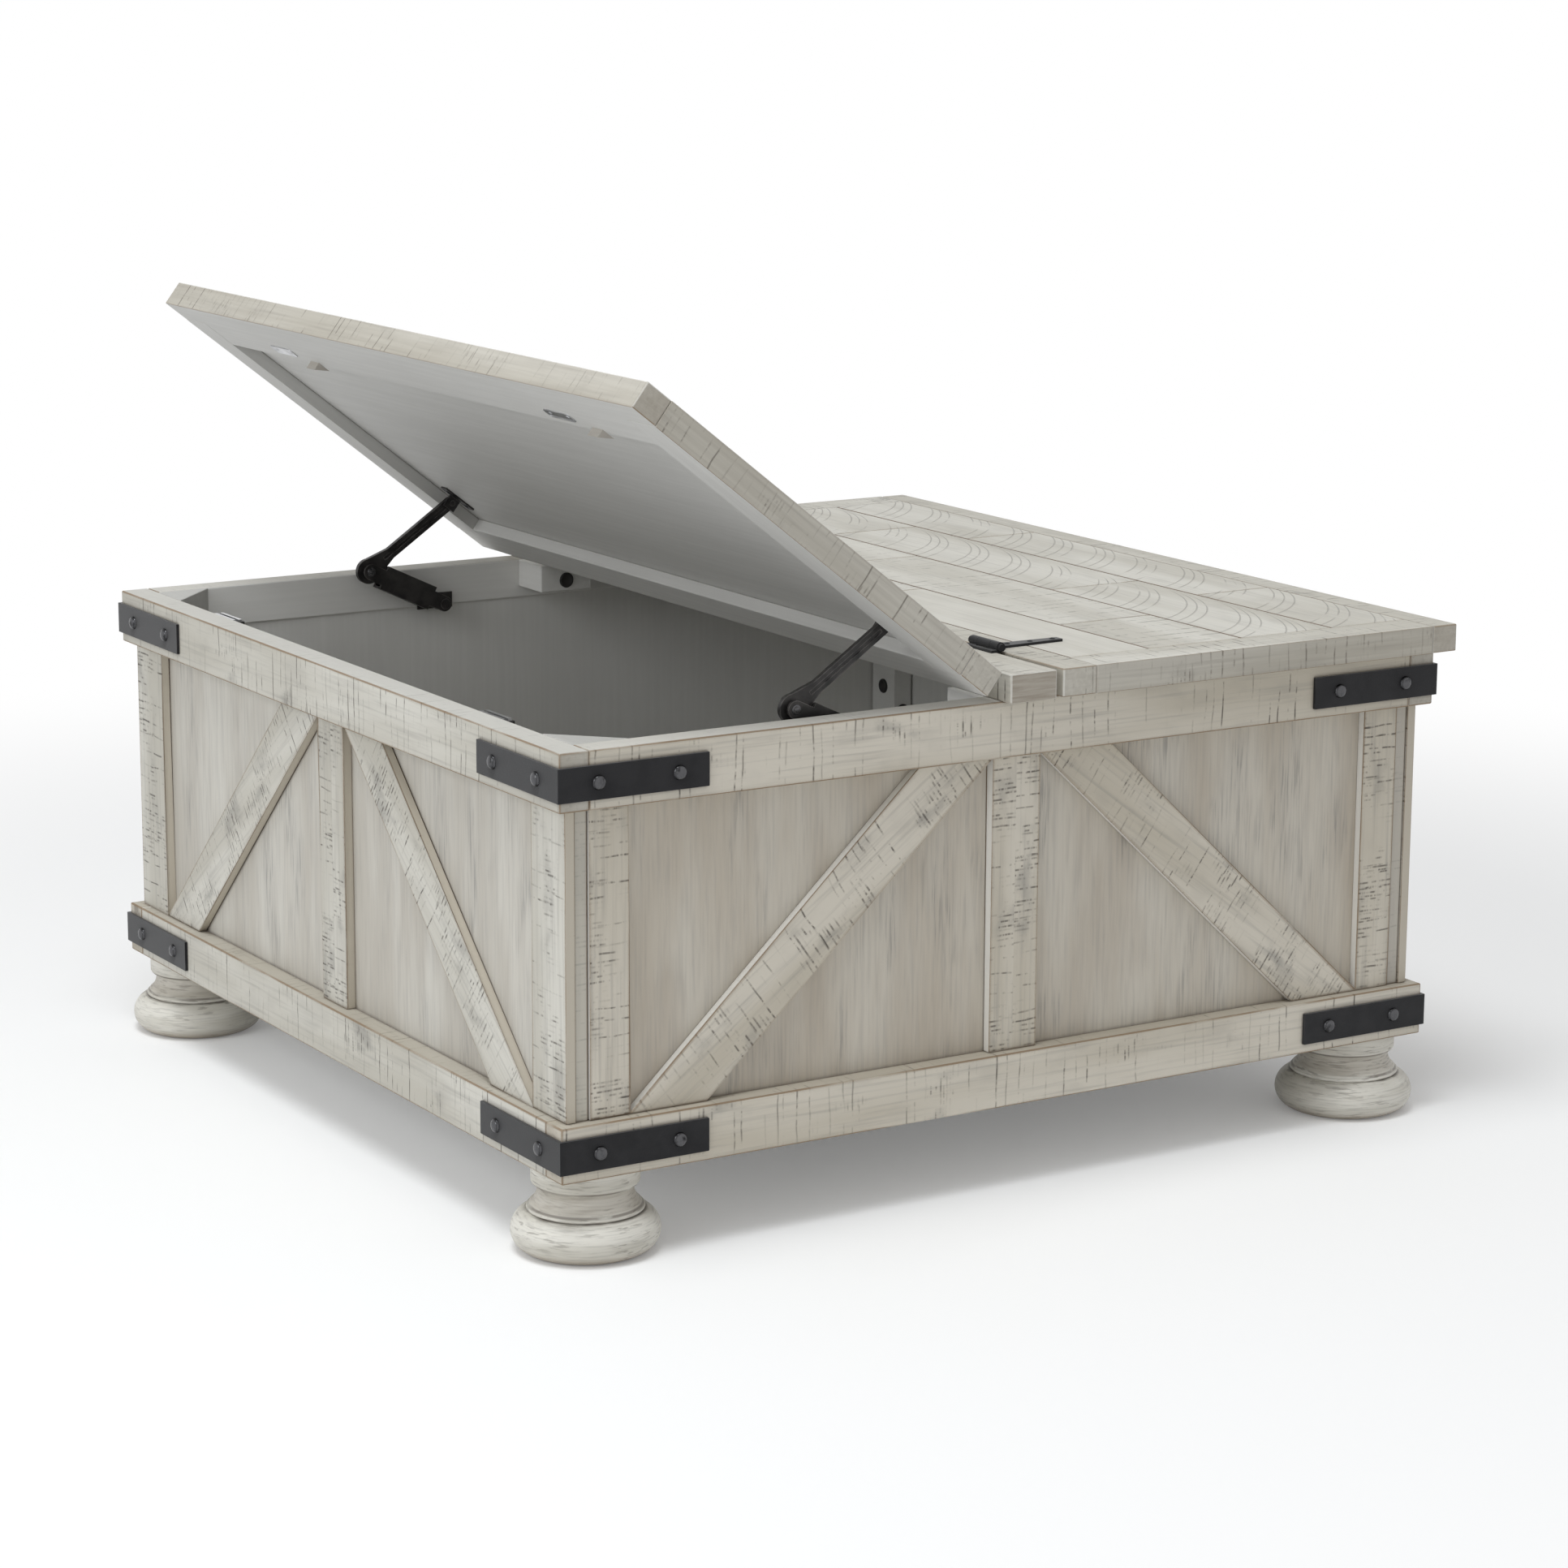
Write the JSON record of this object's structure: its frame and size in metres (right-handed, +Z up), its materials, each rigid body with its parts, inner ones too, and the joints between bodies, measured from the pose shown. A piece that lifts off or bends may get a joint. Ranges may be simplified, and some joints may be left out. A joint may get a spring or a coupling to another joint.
{
  "type": "storage coffee table",
  "caption": "Square whitewashed storage coffee table on bun feet, with planked lids that lift on stays from a centre strip, braced walls and black corner straps.",
  "frame": {"origin": "centre of the footprint, on the floor", "axes": "+X to the right along the front, +Y to the back, +Z up"},
  "size_m": [0.96, 0.946, 0.751],
  "materials": {
    "whitewashed_wood": "worn matt whitewash",
    "inner_wood": "smooth grey stain",
    "black_iron": "textured black",
    "rivet_iron": "dark satin",
    "bare_steel": "brushed",
    "dark_plastic": "matt"
  },
  "bodies": {
    "cabinet": {"base_rail_back": "whitewashed_wood", "base_rail_front": "whitewashed_wood", "base_rail_left": "whitewashed_wood", "base_rail_right": "whitewashed_wood", "bolt_caps": "dark_plastic", "catch_bars": "bare_steel", "catch_bodies": "dark_plastic", "centre_strip": "whitewashed_wood", "corner_blocks": "inner_wood", "corner_posts": "inner_wood", "corner_straps": "black_iron", "floor_panel": "inner_wood", "foot_back_left": "whitewashed_wood", "foot_back_right": "whitewashed_wood", "foot_bolts": "bare_steel", "foot_front_left": "whitewashed_wood", "foot_front_right": "whitewashed_wood", "hinge_pins": "black_iron", "stay_base_brackets": "black_iron", "strap_rivets": "rivet_iron", "strip_cleats": "inner_wood", "strip_hinge_leaves": "black_iron", "trim_back": "whitewashed_wood", "trim_front": "whitewashed_wood", "trim_left": "whitewashed_wood", "trim_right": "whitewashed_wood", "upper_rail_back": "whitewashed_wood", "upper_rail_front": "whitewashed_wood", "upper_rail_left": "whitewashed_wood", "upper_rail_right": "whitewashed_wood", "wall_panel_back": "whitewashed_wood", "wall_panel_front": "whitewashed_wood", "wall_panel_left": "whitewashed_wood", "wall_panel_right": "whitewashed_wood"},
    "left_lid": {"left_lid_back_board": "whitewashed_wood", "left_lid_edge_board": "whitewashed_wood", "left_lid_front_board": "whitewashed_wood", "left_lid_hinge_board": "whitewashed_wood", "left_lid_panel": "inner_wood", "left_lid_planks": "whitewashed_wood", "left_lid_screws": "black_iron", "left_lid_straps": "black_iron", "left_lid_strike_plates": "bare_steel", "left_lid_wedges": "inner_wood", "left_stay_lid_brackets": "black_iron"},
    "right_lid": {"right_lid_back_board": "whitewashed_wood", "right_lid_edge_board": "whitewashed_wood", "right_lid_front_board": "whitewashed_wood", "right_lid_hinge_board": "whitewashed_wood", "right_lid_panel": "inner_wood", "right_lid_planks": "whitewashed_wood", "right_lid_screws": "black_iron", "right_lid_straps": "black_iron", "right_lid_strike_plates": "bare_steel", "right_lid_wedges": "inner_wood", "right_stay_lid_brackets": "black_iron"},
    "left_stay_lower": {"left_stay_channels": "black_iron"},
    "left_stay_upper": {"left_stay_arms": "black_iron"},
    "right_stay_lower": {"right_stay_channels": "black_iron"},
    "right_stay_upper": {"right_stay_arms": "black_iron"}
  },
  "joints": [
    {"name": "left_lid_hinge", "type": "hinge", "parent": "cabinet", "child": "left_lid", "pos_m": [-0.028, 0, 0.4778], "axis": [0, 1, 0], "range_deg": [-37.8, 37.2]},
    {"name": "left_stay_base", "type": "hinge", "parent": "cabinet", "child": "left_stay_lower", "pos_m": [-0.1293, 0, 0.4122], "axis": [0, 1, 0], "range_deg": [-39, 38.4]},
    {"name": "left_stay_elbow", "type": "hinge", "parent": "left_stay_lower", "child": "left_stay_upper", "pos_m": [-0.21296, 0, 0.45223], "axis": [0, -1, 0], "range_deg": [-40.7, 40]},
    {"name": "right_lid_hinge", "type": "hinge", "parent": "cabinet", "child": "right_lid", "pos_m": [0.028, 0, 0.4778], "axis": [0, -1, 0], "range_deg": [0, 75]},
    {"name": "right_stay_base", "type": "hinge", "parent": "cabinet", "child": "right_stay_lower", "pos_m": [0.1293, 0, 0.4122], "axis": [0, -1, 0], "range_deg": [0, 75.8]},
    {"name": "right_stay_elbow", "type": "hinge", "parent": "right_stay_lower", "child": "right_stay_upper", "pos_m": [0.22002, 0, 0.39296], "axis": [0, 1, 0], "range_deg": [0, 80.1]}
  ],
  "couplings": [
    {"joint": "left_stay_base", "follows": "left_lid_hinge", "ratio": 1.031},
    {"joint": "left_stay_elbow", "follows": "left_lid_hinge", "ratio": 1.0745},
    {"joint": "right_stay_base", "follows": "right_lid_hinge", "ratio": 1.01},
    {"joint": "right_stay_elbow", "follows": "right_lid_hinge", "ratio": 1.0673}
  ]
}
